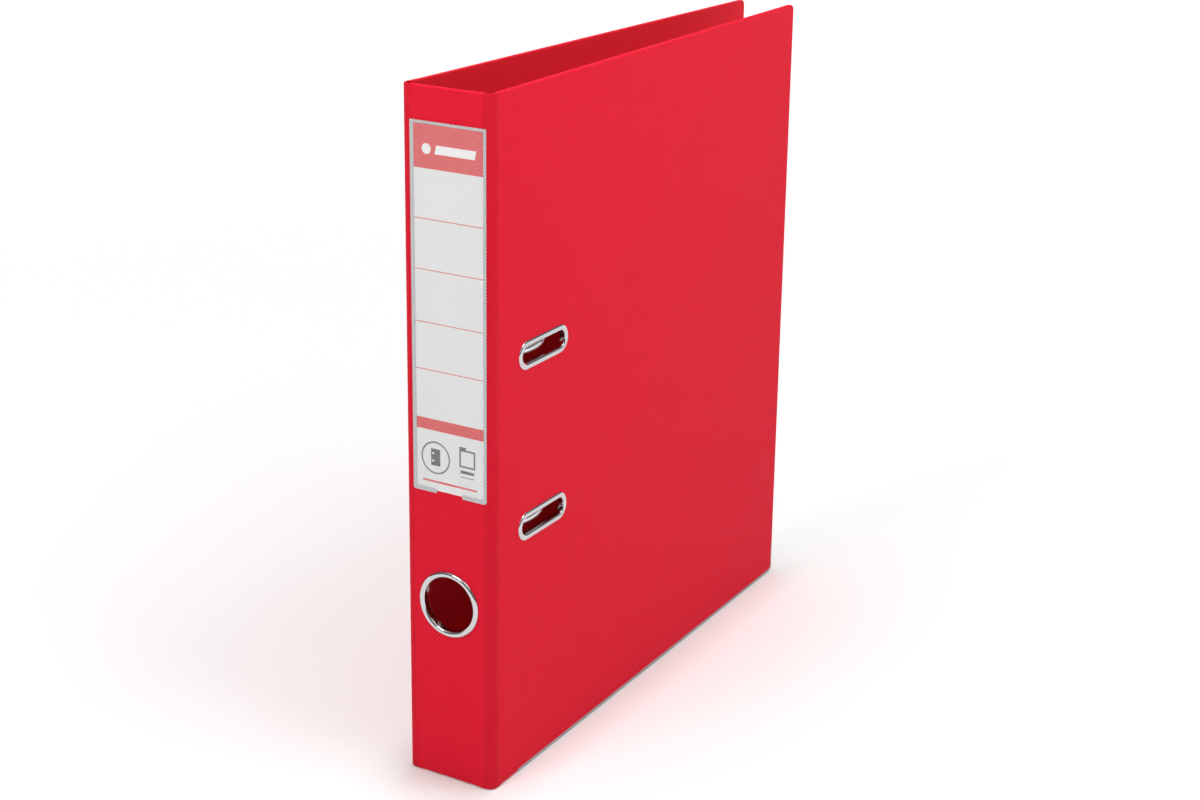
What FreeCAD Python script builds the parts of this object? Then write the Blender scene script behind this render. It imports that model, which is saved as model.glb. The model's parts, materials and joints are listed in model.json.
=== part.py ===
import FreeCAD, Part
import math
import os

# Lever arch file for A4 sheets, standing on its bottom edges, empty and closed.
# The model is drawn from the outer back corner: x across the thickness from the
# back cover to the front cover, y from the spine's outer face to the fore edge,
# z up from the floor.  EXPORT_SHIFT then moves it to the middle of its own box.
# All sizes are in millimetres.

os.makedirs("parts", exist_ok=True)

Vector = FreeCAD.Vector
X_AXIS = Vector(1, 0, 0)
Y_AXIS = Vector(0, 1, 0)
Z_AXIS = Vector(0, 0, 1)

# Overall size
WIDTH = 46.0
DEPTH = 285.0
HEIGHT = 318.0
BACK_LEAN_DEG = 3.1

# Panels: grey board between two welded films
BOARD_T = 1.5
FILM_T = 0.4
PANEL_CORNER_R = 3.0
PANEL_T = BOARD_T + 2 * FILM_T

# Film hinges at the two spine corners
HINGE_R = 4.0
HINGE_TAB = 0.8
HINGE_FILM_T = 2 * FILM_T
SETBACK = HINGE_R + HINGE_TAB

# Metal edge strips on the covers
STRIP_T = 0.35
STRIP_FLANGE = 1.2
STRIP_START = 20.9
STRIP_RISE = 17.5

# Filing positions: two holes of an A4 sheet
HOLE_PITCH = 80.0
MID_Z = HEIGHT / 2

# Eyelets in the front cover
SLOT_Y = 41.0
SLOT_HALF_WIDTH = 3.9
SLOT_STRAIGHT = 27.2
SLOT_FLANGE = 2.7
SLOT_RIM_H = 0.7
SLOT_INNER_H = 0.2
EYELET_WALL = 0.4

# Finger ring in the spine
RING_Z = 86.0
RING_BORE_R = 12.8
RING_FLANGE = 2.8
RING_RIM_H = 1.2
RING_INNER_H = 0.6
RING_WALL = 0.5

# Label pocket and card on the spine
POCKET_MARGIN_BACK = 4.8
POCKET_MARGIN_FRONT = 3.0
POCKET_Z = 138.0
POCKET_MARGIN_TOP = 14.7
POCKET_X = POCKET_MARGIN_BACK
POCKET_WIDTH = WIDTH - POCKET_MARGIN_BACK - POCKET_MARGIN_FRONT
POCKET_HEIGHT = HEIGHT - POCKET_MARGIN_TOP - POCKET_Z
POCKET_WELD_BACK = 2.0
POCKET_WELD_FRONT = 1.3
POCKET_WELD_TOP = 1.2
POCKET_FILM_T = 0.2
POCKET_CORNER_R = 3.0
NOTCH_WIDTH = 13.4
NOTCH_HEIGHT = 2.0
THUMB_R = 6.0
LABEL_T = 0.25
LABEL_FACE_CLEARANCE = 0.05
LABEL_SIDE_CLEARANCE = 0.1

# Mechanism base plate
PLATE_T = 1.2
PLATE_Y = 13.0
PLATE_WIDTH = 57.0
PLATE_LENGTH = 114.0
PLATE_CORNER_R = 5.0
PLATE_TOP = PANEL_T + PLATE_T

# Arch wire and its bearings
WIRE_R = 2.0
WIRE_GAP = 0.2
BEARING_CLEARANCE = 0.05
AXLE_Y = 20.0
CRANK_LENGTH = 18.0
CRANK_HALF_WIDTH = 12.0
CRANK_BEND_R = 3.5
LEG_BEND_R = 5.0
SHOULDER = Vector(39.0, 33.9, 0)
SHOULDER_R = 4.5
CROWN = Vector(39.8, 48.9, 0)
CROWN_R = 26.5
TIP_KNEE_X = 27.6
TIP_KNEE_R = 13.0
TIP_X = 21.5
TIP_CONE = 1.0
BRIDGE_WALL = 1.1
BRIDGE_LENGTH = 9.0
BRIDGE_OFFSET = 28.0
AXLE_X = PLATE_TOP + WIRE_GAP + WIRE_R

# Filing posts
POST_R = 2.5
POST_Y = 62.05
POST_COLLAR_R = 4.2
POST_COLLAR_H = 1.0
POST_TIP_GAP = 0.2
POST_LIP = 0.3

# Lever, its pin and its roller
LEVER_HALF_WIDTH = 7.0
LEVER_WALL = 1.0
LEVER_TIP_Y = 9.0
LEVER_TIP_R = 2.6
LEVER_ROOT_R = 3.6
LEVER_NOSE_R = 5.0
LEVER_PIN_R = 1.6
LEVER_PIN_HEAD_R = 2.7
LEVER_PIN_HEAD_T = 0.8
ROLLER_ARM = 6.5
ROLLER_ARM_DEG = 36.0
ROLLER_OFFSET = -0.5
ROLLER_PITCH = 5.5
ROLLER_LIFT = 0.46
ROLLER_PIN_R = 1.2
ROLLER_END_GAP = 0.3
HEEL_R = 2.8
PIN_CLEARANCE = 0.05
EAR_T = 1.2
EAR_GAP = 0.3
EAR_R = 3.5
EAR_FOOT_R = 4.0
EAR_CRANK_GAP = 2.5
EAR_FOOT_Y = AXLE_Y + CRANK_LENGTH + WIRE_R + EAR_CRANK_GAP + EAR_FOOT_R

# Leaf spring under the crank
SPRING_T = 0.5
SPRING_WIDTH = 9.0
SPRING_END_Y = 33.0
SPRING_STEP_Y = 49.0
SPRING_STEP = 4.0
SPRING_TAIL_Y = 58.0
SPRING_WINDOW_GAP = 1.0
SPRING_DROP = 0.6

# Tubular rivets that hold the plate to the back cover
RIVET_R = 2.0
RIVET_HEAD_R = 4.3
RIVET_HEAD_H = 0.7
RIVET_INSET_Y = 5.5
RIVET_INSET_Z = 6.5

# Compressor bar on the posts
BAR_T = 1.2
BAR_WIDTH = 11.0
BAR_LENGTH = 108.0
BAR_REST_X = 7.0
BAR_HOLE_CLEARANCE = 0.4
BAR_CORNER_R = 4.0
CLIP_HEIGHT = 5.0
CLIP_WIDTH = 9.0
CLIP_LENGTH = 14.0
CLIP_CLEARANCE = 0.05
CLIP_CORNER_R = 1.5

EXPORT_SHIFT = Vector(-(WIDTH + SLOT_RIM_H) / 2, -(DEPTH - RING_RIM_H) / 2, 0)


def box(low, high):
    """Box between two opposite corners."""
    size = high.sub(low)
    return Part.makeBox(size.x, size.y, size.z, low)


def round_edges(solid, direction, radius, keep=None):
    """Fillet the straight edges parallel to direction; keep(point) picks a few of them."""
    chosen = []
    for edge in solid.Edges:
        if not isinstance(edge.Curve, Part.Line):
            continue
        if edge.Curve.Direction.cross(direction).Length > 1e-6:
            continue
        if keep is None or keep(edge.CenterOfMass):
            chosen.append(edge)
    return solid.makeFillet(radius, chosen)


def link(p0, r0, p1, r1, low_z, high_z):
    """Prism along z whose section is the taut belt around two circles."""
    along = p1.sub(p0)
    angle = math.atan2(along.y, along.x)
    spread = math.acos((r0 - r1) / along.Length)

    def on(p, r, a):
        return Vector(p.x + r * math.cos(a), p.y + r * math.sin(a), low_z)

    left0 = on(p0, r0, angle + spread)
    right0 = on(p0, r0, angle - spread)
    left1 = on(p1, r1, angle + spread)
    right1 = on(p1, r1, angle - spread)
    back = Part.Arc(left0, on(p0, r0, angle + math.pi), right0).toShape()
    front = Part.Arc(right1, on(p1, r1, angle), left1).toShape()
    sides = [Part.makeLine(right0, right1), Part.makeLine(left1, left0)]
    wire = Part.Wire([back, sides[0], front, sides[1]])
    return Part.Face(wire).extrude(Vector(0, 0, high_z - low_z))


def rod(radius, start, end):
    """Round bar between two points."""
    run = end.sub(start)
    return Part.makeCylinder(radius, run.Length, start, run)


def z_pin(radius, place, low_z, high_z):
    """Round bar parallel to z through a point of the xy plane."""
    return rod(radius, Vector(place.x, place.y, low_z), Vector(place.x, place.y, high_z))


def bent_wire(points, bends, radius):
    """Round wire through straight runs, with an arc of the given radius at each inner point."""
    solids = []
    start = points[0]
    for before, corner, after, bend in zip(points, points[1:], points[2:], bends):
        arriving = corner.sub(before).normalize()
        leaving = after.sub(corner).normalize()
        turn = arriving.getAngle(leaving)
        setback = bend * math.tan(turn / 2)
        arc_start = corner.sub(arriving * setback)
        if arc_start.sub(start).Length > 0.01:
            solids.append(rod(radius, start, arc_start))
        axis = arriving.cross(leaving).normalize()
        centre = arc_start.add(axis.cross(arriving) * bend)
        disc = Part.Face(Part.Wire(Part.makeCircle(radius, arc_start, arriving)))
        solids.append(disc.revolve(centre, axis, math.degrees(turn)))
        start = corner.add(leaving * setback)
    solids.append(rod(radius, start, points[-1]))
    return solids[0].multiFuse(solids[1:]).removeSplitter()


# Placing: each panel is drawn flat with its outer face at x = 0, its hinge edge at
# y = 0 and its inner face towards +x.

def to_back(shape):
    """Flat panel to the back cover, which leans in about its film hinge."""
    return lean(shape.translated(Vector(0, SETBACK, 0)))


def to_front(shape):
    """Flat panel to the front cover."""
    return shape.mirror(Vector(), X_AXIS).translated(Vector(WIDTH, SETBACK, 0))


def to_spine(shape):
    """Flat panel to the spine."""
    return shape.mirror(Vector(), Vector(1, -1, 0)).translated(Vector(SETBACK, 0, 0))


def lean(shape):
    """Turn a piece of the back cover or its mechanism about the back corner's centre."""
    turned = shape.copy()
    turned.rotate(Vector(HINGE_R, HINGE_R, 0), Z_AXIS, -BACK_LEAN_DEG)
    return turned


# Panels

def panel_slab(length, inset, low_x, high_x, corner_r):
    """Panel-shaped slab, drawn in from the outline by inset, fore corners rounded."""
    slab = box(Vector(low_x, inset, inset), Vector(high_x, length - inset, HEIGHT - inset))
    radius = corner_r - inset
    if radius > 0:
        slab = round_edges(slab, X_AXIS, radius, keep=lambda p: p.y > length / 2)
    return slab


def panel(length, corner_r, holes, strip=None):
    """Board, outer film with its turned edge, and inner film of one panel."""
    board = panel_slab(length, FILM_T, FILM_T, FILM_T + BOARD_T, corner_r)
    outer = panel_slab(length, 0, 0, FILM_T + BOARD_T, corner_r).cut(board)
    inner = panel_slab(length, 0, FILM_T + BOARD_T, PANEL_T, corner_r)
    pieces = [board, outer, inner]
    if strip is not None:
        pieces = [board, outer.cut(strip), inner.cut(strip)]
    if holes:
        pieces = [piece.cut(holes) for piece in pieces]
    return pieces


def strip_band(length):
    """The bottom and fore edge of a cover that its edge strip takes up."""
    band = panel_slab(length, 0, 0, PANEL_T, PANEL_CORNER_R)
    band = band.cut(panel_slab(length, STRIP_FLANGE, 0, PANEL_T, PANEL_CORNER_R))
    reach = box(Vector(0, STRIP_START - SETBACK, 0), Vector(PANEL_T, length, STRIP_RISE))
    return band.common(reach)


def edge_strip(length):
    """Folded metal strip round the bottom and the lower fore corner of a cover."""
    core = panel_slab(length, STRIP_T, STRIP_T, PANEL_T - STRIP_T, PANEL_CORNER_R)
    return strip_band(length).cut(core)


def hinge_film(centre_x, start_deg, sweep_deg):
    """Rounded film along one spine corner, without its flat tabs."""
    centre = Vector(centre_x, HINGE_R, 0)
    outer = Part.makeCylinder(HINGE_R, HEIGHT, centre, Z_AXIS, sweep_deg)
    inner = Part.makeCylinder(HINGE_R - HINGE_FILM_T, HEIGHT, centre, Z_AXIS, sweep_deg)
    sector = outer.cut(inner)
    sector.rotate(centre, Z_AXIS, start_deg)
    return sector


def back_hinge():
    """Film hinge between the back cover and the spine."""
    sector = hinge_film(HINGE_R, 180 - BACK_LEAN_DEG, 90 + BACK_LEAN_DEG)
    cover_tab = lean(box(Vector(0, HINGE_R, 0), Vector(HINGE_FILM_T, SETBACK, HEIGHT)))
    spine_tab = box(Vector(HINGE_R, 0, 0), Vector(SETBACK, HINGE_FILM_T, HEIGHT))
    return sector.multiFuse([cover_tab, spine_tab]).removeSplitter()


def front_hinge():
    """Film hinge between the spine and the front cover."""
    sector = hinge_film(WIDTH - HINGE_R, 270, 90)
    cover_low = Vector(WIDTH - HINGE_FILM_T, HINGE_R, 0)
    cover_tab = box(cover_low, Vector(WIDTH, SETBACK, HEIGHT))
    spine_low = Vector(WIDTH - SETBACK, 0, 0)
    spine_tab = box(spine_low, Vector(WIDTH - HINGE_R, HINGE_FILM_T, HEIGHT))
    return sector.multiFuse([cover_tab, spine_tab]).removeSplitter()


# Eyelets

def eyelet_section(bore_r, wall, flange, rim_h, inner_h):
    """Section of a pressed eyelet: domed outer rim, barrel and curled inner rim."""
    edge = 0.25 * rim_h
    flange_r = bore_r + flange
    inner_r = bore_r + 0.8 * flange
    mid_r = bore_r + flange / 2
    rim_in = Vector(-edge, 0, bore_r)
    rim_out = Vector(0, 0, flange_r)
    curl_out = Vector(PANEL_T, 0, inner_r)
    curl_in = Vector(PANEL_T + 0.5 * inner_h, 0, bore_r)
    barrel_top = Vector(0, 0, bore_r + wall)
    barrel_end = Vector(PANEL_T, 0, bore_r + wall)
    dome = Part.Arc(rim_in, Vector(-rim_h, 0, mid_r), rim_out).toShape()
    curl = Part.Arc(curl_out, Vector(PANEL_T + inner_h, 0, mid_r), curl_in).toShape()
    lines = [(rim_out, barrel_top), (barrel_top, barrel_end), (barrel_end, curl_out)]
    edges = [dome] + [Part.makeLine(a, b) for a, b in lines]
    edges += [curl, Part.makeLine(curl_in, rim_in)]
    return Part.Face(Part.Wire(edges))


def finger_ring():
    """Pressed ring round the finger hole, drawn on the flat spine."""
    section = eyelet_section(RING_BORE_R, RING_WALL, RING_FLANGE, RING_RIM_H, RING_INNER_H)
    ring = section.revolve(Vector(), X_AXIS, 360)
    return ring.translated(Vector(0, WIDTH / 2 - SETBACK, RING_Z))


def slot_eyelet(centre_z):
    """Long eyelet in front of one arch, drawn on the flat cover."""
    half = Vector(0, SLOT_STRAIGHT / 2, 0)
    section = eyelet_section(SLOT_HALF_WIDTH, EYELET_WALL, SLOT_FLANGE, SLOT_RIM_H, SLOT_INNER_H)
    fore = section.translated(half)
    rear = section.translated(half * -1)
    upper = rear.extrude(half * 2)
    lower = upper.copy()
    lower.rotate(Vector(), X_AXIS, 180)
    fore_end = fore.revolve(half, X_AXIS, -180)
    rear_end = rear.revolve(half * -1, X_AXIS, 180)
    ring = upper.multiFuse([lower, fore_end, rear_end]).removeSplitter()
    return ring.translated(Vector(0, SLOT_Y - SETBACK, centre_z))


def slot_hole(centre_z):
    """Cut through the front cover for one eyelet's barrel."""
    reach = 2 * PANEL_T
    radius = SLOT_HALF_WIDTH + EYELET_WALL
    half = SLOT_STRAIGHT / 2
    middle_y = SLOT_Y - SETBACK
    low = Vector(-reach, middle_y - half, centre_z - radius)
    high = Vector(reach, middle_y + half, centre_z + radius)
    ends = []
    for side in (-1, 1):
        start = Vector(-reach, middle_y + side * half, centre_z)
        ends.append(Part.makeCylinder(radius, 2 * reach, start, X_AXIS))
    return box(low, high).multiFuse(ends).removeSplitter()


def ring_hole():
    """Cut through the flat spine for the ring's barrel."""
    start = Vector(-PANEL_T, WIDTH / 2 - SETBACK, RING_Z)
    return Part.makeCylinder(RING_BORE_R + RING_WALL, 3 * PANEL_T, start, X_AXIS)


# Label pocket

def pocket_cavity_t():
    """Depth of the space that the card lies in."""
    return LABEL_T + 2 * LABEL_FACE_CLEARANCE


def label_pocket():
    """Clear pocket welded on at both sides and the top, open at the bottom."""
    cavity_t = pocket_cavity_t()
    front_x = POCKET_X + POCKET_WIDTH
    top_z = POCKET_Z + POCKET_HEIGHT
    sheet_y = -(cavity_t + POCKET_FILM_T)
    sheet = box(Vector(POCKET_X, sheet_y, POCKET_Z), Vector(front_x, 0, top_z))
    sheet = round_edges(sheet, Y_AXIS, POCKET_CORNER_R, keep=lambda p: p.z < top_z - 1)
    cavity_low = Vector(POCKET_X + POCKET_WELD_BACK, -cavity_t, POCKET_Z - 1)
    cavity_high = Vector(front_x - POCKET_WELD_FRONT, 0, top_z - POCKET_WELD_TOP)
    middle_x = POCKET_X + POCKET_WIDTH / 2
    notch_low = Vector(middle_x - NOTCH_WIDTH / 2, sheet_y, POCKET_Z)
    notch = box(notch_low, notch_low.add(Vector(NOTCH_WIDTH, -sheet_y, NOTCH_HEIGHT)))
    thumb_start = Vector(middle_x, sheet_y, POCKET_Z + NOTCH_HEIGHT)
    thumb = Part.makeCylinder(THUMB_R, -sheet_y, thumb_start, Y_AXIS)
    return sheet.cut([box(cavity_low, cavity_high), notch, thumb])


def spine_label():
    """Card in the pocket."""
    low_x = POCKET_X + POCKET_WELD_BACK + LABEL_SIDE_CLEARANCE
    high_x = POCKET_X + POCKET_WIDTH - POCKET_WELD_FRONT - LABEL_SIDE_CLEARANCE
    top_z = POCKET_Z + POCKET_HEIGHT - POCKET_WELD_TOP - LABEL_SIDE_CLEARANCE
    face_y = -(LABEL_FACE_CLEARANCE + LABEL_T)
    low = Vector(low_x, face_y, POCKET_Z + POCKET_WELD_TOP)
    return box(low, Vector(high_x, -LABEL_FACE_CLEARANCE, top_z))


# Mechanism, drawn upright and then leaned with the back cover

AXLE = Vector(AXLE_X, AXLE_Y, 0)
CRANK_BAR = Vector(AXLE_X, AXLE_Y + CRANK_LENGTH, 0)
ROLLER_CENTRE = CRANK_BAR.add(
    Vector(math.sqrt(ROLLER_PITCH ** 2 - ROLLER_OFFSET ** 2), ROLLER_OFFSET, 0))
ARM_ANGLE = math.radians(ROLLER_ARM_DEG)
LEVER_PIVOT = ROLLER_CENTRE.add(Vector(math.cos(ARM_ANGLE), math.sin(ARM_ANGLE), 0) * ROLLER_ARM)
ROLLER_R = ROLLER_PITCH - WIRE_R - ROLLER_LIFT
EAR_INNER = LEVER_HALF_WIDTH + EAR_GAP
EAR_OUTER = EAR_INNER + EAR_T
POST_TOP = TIP_X - POST_TIP_GAP
FILING_ZS = [MID_Z - HOLE_PITCH / 2, MID_Z + HOLE_PITCH / 2]


def bridge(centre_z):
    """Strap pressed up from the plate that holds the wire's axle down."""
    low_z = centre_z - BRIDGE_LENGTH / 2
    high_z = centre_z + BRIDGE_LENGTH / 2
    inner_r = WIRE_R + BEARING_CLEARANCE
    outer_r = inner_r + BRIDGE_WALL
    solids = []
    for radius in (outer_r, inner_r):
        foot = box(Vector(PLATE_TOP, AXLE_Y - radius, low_z),
                   Vector(AXLE_X, AXLE_Y + radius, high_z))
        solids.append(foot.fuse(z_pin(radius, AXLE, low_z, high_z)))
    above_plate = box(Vector(PLATE_TOP, AXLE_Y - outer_r, low_z),
                      Vector(AXLE_X + outer_r, AXLE_Y + outer_r, high_z))
    return solids[0].cut(solids[1]).common(above_plate)


def ear(low_z):
    """One of the two upright ears that carry the lever's pin."""
    foot = Vector(PLATE_TOP, EAR_FOOT_Y, 0)
    shape = link(LEVER_PIVOT, EAR_R, foot, EAR_FOOT_R, low_z, low_z + EAR_T)
    below = box(Vector(-EAR_FOOT_R, 0, low_z), Vector(PLATE_TOP, DEPTH, low_z + EAR_T))
    return shape.cut([below, z_pin(LEVER_PIN_R, LEVER_PIVOT, low_z, low_z + EAR_T)])


def rivet_places():
    """Centres of the four rivets on the plate."""
    low_y = PLATE_Y + RIVET_INSET_Y
    high_y = PLATE_Y + PLATE_WIDTH - RIVET_INSET_Y
    reach = PLATE_LENGTH / 2 - RIVET_INSET_Z
    return [(y, MID_Z + side * reach) for y in (low_y, high_y) for side in (-1, 1)]


def rivet_hole(place, radius):
    """Cut along x through the cover and the plate."""
    y, z = place
    return Part.makeCylinder(radius, 4 * PLATE_TOP, Vector(-PLATE_TOP, y, z), X_AXIS)


def spring_window():
    """Opening in the plate that the leaf spring dips into."""
    reach = SPRING_WIDTH / 2 + SPRING_WINDOW_GAP
    low = Vector(0, SPRING_END_Y - SPRING_WINDOW_GAP, MID_Z - reach)
    return box(low, Vector(PLATE_TOP, SPRING_STEP_Y, MID_Z + reach))


def base_plate():
    """Pressed steel plate with two bridges and two ears."""
    low = Vector(PANEL_T, PLATE_Y, MID_Z - PLATE_LENGTH / 2)
    high = Vector(PLATE_TOP, PLATE_Y + PLATE_WIDTH, MID_Z + PLATE_LENGTH / 2)
    plate = round_edges(box(low, high), X_AXIS, PLATE_CORNER_R)
    raised = [bridge(MID_Z - BRIDGE_OFFSET), bridge(MID_Z + BRIDGE_OFFSET)]
    raised += [ear(MID_Z - EAR_OUTER), ear(MID_Z + EAR_INNER)]
    holes = [rivet_hole(place, RIVET_R) for place in rivet_places()]
    plate = plate.cut(holes + [spring_window()])
    return plate.multiFuse(raised).removeSplitter()


def rivet(place):
    """Tubular rivet: domed head outside, shank, curled head on the plate."""
    y, z = place
    dome_r = (RIVET_HEAD_R ** 2 + RIVET_HEAD_H ** 2) / (2 * RIVET_HEAD_H)
    ball = Part.makeSphere(dome_r, Vector(dome_r - RIVET_HEAD_H, y, z))
    head = ball.common(Part.makeCylinder(RIVET_HEAD_R, RIVET_HEAD_H,
                                         Vector(-RIVET_HEAD_H, y, z), X_AXIS))
    shank = Part.makeCylinder(RIVET_R, PLATE_TOP, Vector(0, y, z), X_AXIS)
    curl = Part.makeTorus(RIVET_R, RIVET_HEAD_H, Vector(PLATE_TOP, y, z), X_AXIS)
    above = Part.makeCylinder(2 * RIVET_R, RIVET_HEAD_H, Vector(PLATE_TOP, y, z), X_AXIS)
    return head.multiFuse([shank, curl.common(above)]).removeSplitter()


def post(z):
    """Fixed filing post with a collar and a countersunk top for the arch's tip."""
    foot = Vector(PLATE_TOP, POST_Y, z)
    shaft = rod(POST_R, foot, Vector(POST_TOP, POST_Y, z))
    collar = Part.makeCylinder(POST_COLLAR_R, POST_COLLAR_H, foot, X_AXIS)
    depth = TIP_CONE + POST_LIP
    mouth_r = POST_R - POST_LIP
    sink = Part.makeCone(mouth_r - depth, mouth_r, depth,
                         Vector(POST_TOP - depth, POST_Y, z), X_AXIS)
    return shaft.fuse(collar).cut(sink).removeSplitter()


def arch_points(z):
    """Corners of one arch from its tip to the axle."""
    return [Vector(TIP_X, POST_Y, z), Vector(TIP_KNEE_X, POST_Y, z),
            Vector(CROWN.x, CROWN.y, z), Vector(SHOULDER.x, SHOULDER.y, z),
            Vector(AXLE_X, AXLE_Y, z)]


def arch_wire():
    """One bent wire: arch, axle, crank, axle, arch, with a coned tip at each end."""
    low_z, high_z = FILING_ZS
    crank = []
    for side in (-1, 1):
        z = MID_Z + side * CRANK_HALF_WIDTH
        pair = [Vector(AXLE.x, AXLE.y, z), Vector(CRANK_BAR.x, CRANK_BAR.y, z)]
        crank += pair if side < 0 else pair[::-1]
    points = arch_points(low_z) + crank + arch_points(high_z)[::-1]
    arch_bends = [TIP_KNEE_R, CROWN_R, SHOULDER_R, LEG_BEND_R]
    bends = arch_bends + [CRANK_BEND_R] * 4 + arch_bends[::-1]
    wire = bent_wire(points, bends, WIRE_R)
    cones = []
    for z in FILING_ZS:
        tip = Vector(TIP_X, POST_Y, z)
        cones.append(Part.makeCone(WIRE_R, WIRE_R - TIP_CONE, TIP_CONE, tip, X_AXIS * -1))
    return wire.multiFuse(cones).removeSplitter()


def lever():
    """Channel-shaped lever with a heel that carries the roller."""
    low_z = MID_Z - LEVER_HALF_WIDTH
    high_z = MID_Z + LEVER_HALF_WIDTH
    tip = Vector(LEVER_PIVOT.x, LEVER_TIP_Y, 0)
    handle = link(LEVER_PIVOT, LEVER_ROOT_R, tip, LEVER_TIP_R, low_z, high_z)
    heel = link(LEVER_PIVOT, LEVER_ROOT_R, ROLLER_CENTRE, HEEL_R, low_z, high_z)
    inside_low = low_z + LEVER_WALL
    inside_high = high_z - LEVER_WALL
    root_r = LEVER_ROOT_R - LEVER_WALL
    tip_r = LEVER_TIP_R - LEVER_WALL
    channel = link(LEVER_PIVOT, root_r, tip, tip_r, inside_low, inside_high)
    mouth = box(Vector(0, LEVER_TIP_Y - tip_r, inside_low),
                Vector(LEVER_PIVOT.x, LEVER_PIVOT.y + LEVER_ROOT_R, inside_high))
    pin_holes = [z_pin(LEVER_PIN_R + PIN_CLEARANCE, LEVER_PIVOT, low_z, high_z),
                 z_pin(ROLLER_PIN_R, ROLLER_CENTRE, low_z, high_z)]
    body = handle.fuse(heel).cut([channel, mouth] + pin_holes)
    nose = box(Vector(0, LEVER_TIP_Y - LEVER_TIP_R, low_z),
               Vector(WIDTH, LEVER_PIVOT.y + LEVER_ROOT_R, high_z))
    nose = round_edges(nose, X_AXIS, LEVER_NOSE_R, keep=lambda p: p.y < LEVER_TIP_Y)
    return body.common(nose).removeSplitter()


def lever_pin():
    """Headed pin through the two ears."""
    shank = z_pin(LEVER_PIN_R, LEVER_PIVOT, MID_Z - EAR_OUTER, MID_Z + EAR_OUTER)
    heads = []
    for low_z in (MID_Z - EAR_OUTER - LEVER_PIN_HEAD_T, MID_Z + EAR_OUTER):
        heads.append(z_pin(LEVER_PIN_HEAD_R, LEVER_PIVOT, low_z, low_z + LEVER_PIN_HEAD_T))
    return shank.multiFuse(heads).removeSplitter()


def roller_pin():
    """Pin through the lever's heel."""
    reach = LEVER_HALF_WIDTH
    return z_pin(ROLLER_PIN_R, ROLLER_CENTRE, MID_Z - reach, MID_Z + reach)


def roller():
    """Roller that presses the crank down."""
    reach = LEVER_HALF_WIDTH - LEVER_WALL - ROLLER_END_GAP
    body = z_pin(ROLLER_R, ROLLER_CENTRE, MID_Z - reach, MID_Z + reach)
    return body.cut(z_pin(ROLLER_PIN_R + PIN_CLEARANCE, ROLLER_CENTRE, MID_Z - reach, MID_Z + reach))


def opening_spring():
    """Leaf spring from its fixed tail on the plate to under the crank."""
    tail_x = PLATE_TOP
    leaf_x = PLATE_TOP - SPRING_DROP
    bend_y = SPRING_STEP_Y - SPRING_STEP
    corners = [(tail_x, SPRING_TAIL_Y), (tail_x, SPRING_STEP_Y), (leaf_x, bend_y),
               (leaf_x, SPRING_END_Y), (leaf_x + SPRING_T, SPRING_END_Y),
               (leaf_x + SPRING_T, bend_y), (tail_x + SPRING_T, SPRING_STEP_Y),
               (tail_x + SPRING_T, SPRING_TAIL_Y)]
    low_z = MID_Z - SPRING_WIDTH / 2
    loop = [Vector(x, y, low_z) for x, y in corners + corners[:1]]
    return Part.Face(Part.makePolygon(loop)).extrude(Vector(0, 0, SPRING_WIDTH))


def compressor_bar():
    """Flat bar that holds the sheets down on the posts."""
    low = Vector(BAR_REST_X, POST_Y - BAR_WIDTH / 2, MID_Z - BAR_LENGTH / 2)
    bar = box(low, low.add(Vector(BAR_T, BAR_WIDTH, BAR_LENGTH)))
    bar = round_edges(bar, X_AXIS, BAR_CORNER_R)
    hole_r = POST_R + BAR_HOLE_CLEARANCE
    return bar.cut([Part.makeCylinder(hole_r, WIDTH, Vector(0, POST_Y, z), X_AXIS)
                    for z in FILING_ZS])


def compressor_clip(z):
    """Clip on the bar that grips one post."""
    low = Vector(BAR_REST_X + BAR_T, POST_Y - CLIP_WIDTH / 2, z - CLIP_LENGTH / 2)
    clip = box(low, low.add(Vector(CLIP_HEIGHT, CLIP_WIDTH, CLIP_LENGTH)))
    clip = round_edges(clip, X_AXIS, CLIP_CORNER_R)
    return clip.cut(Part.makeCylinder(POST_R + CLIP_CLEARANCE, WIDTH, Vector(0, POST_Y, z), X_AXIS))


def build():
    """Every node of the file by name."""
    cover_length = DEPTH - SETBACK
    spine_length = WIDTH - 2 * SETBACK
    strip = strip_band(cover_length)
    rivet_holes = [rivet_hole((y - SETBACK, z), RIVET_R) for y, z in rivet_places()]
    slot_holes = [slot_hole(z) for z in FILING_ZS]
    back = panel(cover_length, PANEL_CORNER_R, rivet_holes, strip)
    front = panel(cover_length, PANEL_CORNER_R, slot_holes, strip)
    spine = panel(spine_length, 0, [ring_hole()])
    nodes = {}
    for name, place, pieces in (("back", to_back, back), ("spine", to_spine, spine),
                                ("front", to_front, front)):
        for piece, shape in zip(("board", "outer_film", "inner_film"), pieces):
            nodes[f"{name}_{piece}"] = place(shape)
    nodes["back_edge_strip"] = to_back(edge_strip(cover_length))
    nodes["front_edge_strip"] = to_front(edge_strip(cover_length))
    nodes["back_hinge_film"] = back_hinge()
    nodes["front_hinge_film"] = front_hinge()
    nodes["finger_ring"] = to_spine(finger_ring())
    nodes["slot_eyelets"] = to_front(Part.makeCompound([slot_eyelet(z) for z in FILING_ZS]))
    nodes["label_pocket"] = label_pocket()
    nodes["spine_label"] = spine_label()
    nodes["base_plate"] = lean(base_plate())
    nodes["plate_rivets"] = lean(Part.makeCompound([rivet(place) for place in rivet_places()]))
    nodes["filing_posts"] = lean(Part.makeCompound([post(z) for z in FILING_ZS]))
    nodes["arch_wire"] = lean(arch_wire())
    nodes["lever"] = lean(lever())
    nodes["lever_pin"] = lean(lever_pin())
    nodes["roller_pin"] = lean(roller_pin())
    nodes["roller"] = lean(roller())
    nodes["opening_spring"] = lean(opening_spring())
    nodes["compressor_bar"] = lean(compressor_bar())
    clips = Part.makeCompound([compressor_clip(z) for z in FILING_ZS])
    nodes["compressor_clips"] = lean(clips)
    return nodes


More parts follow.
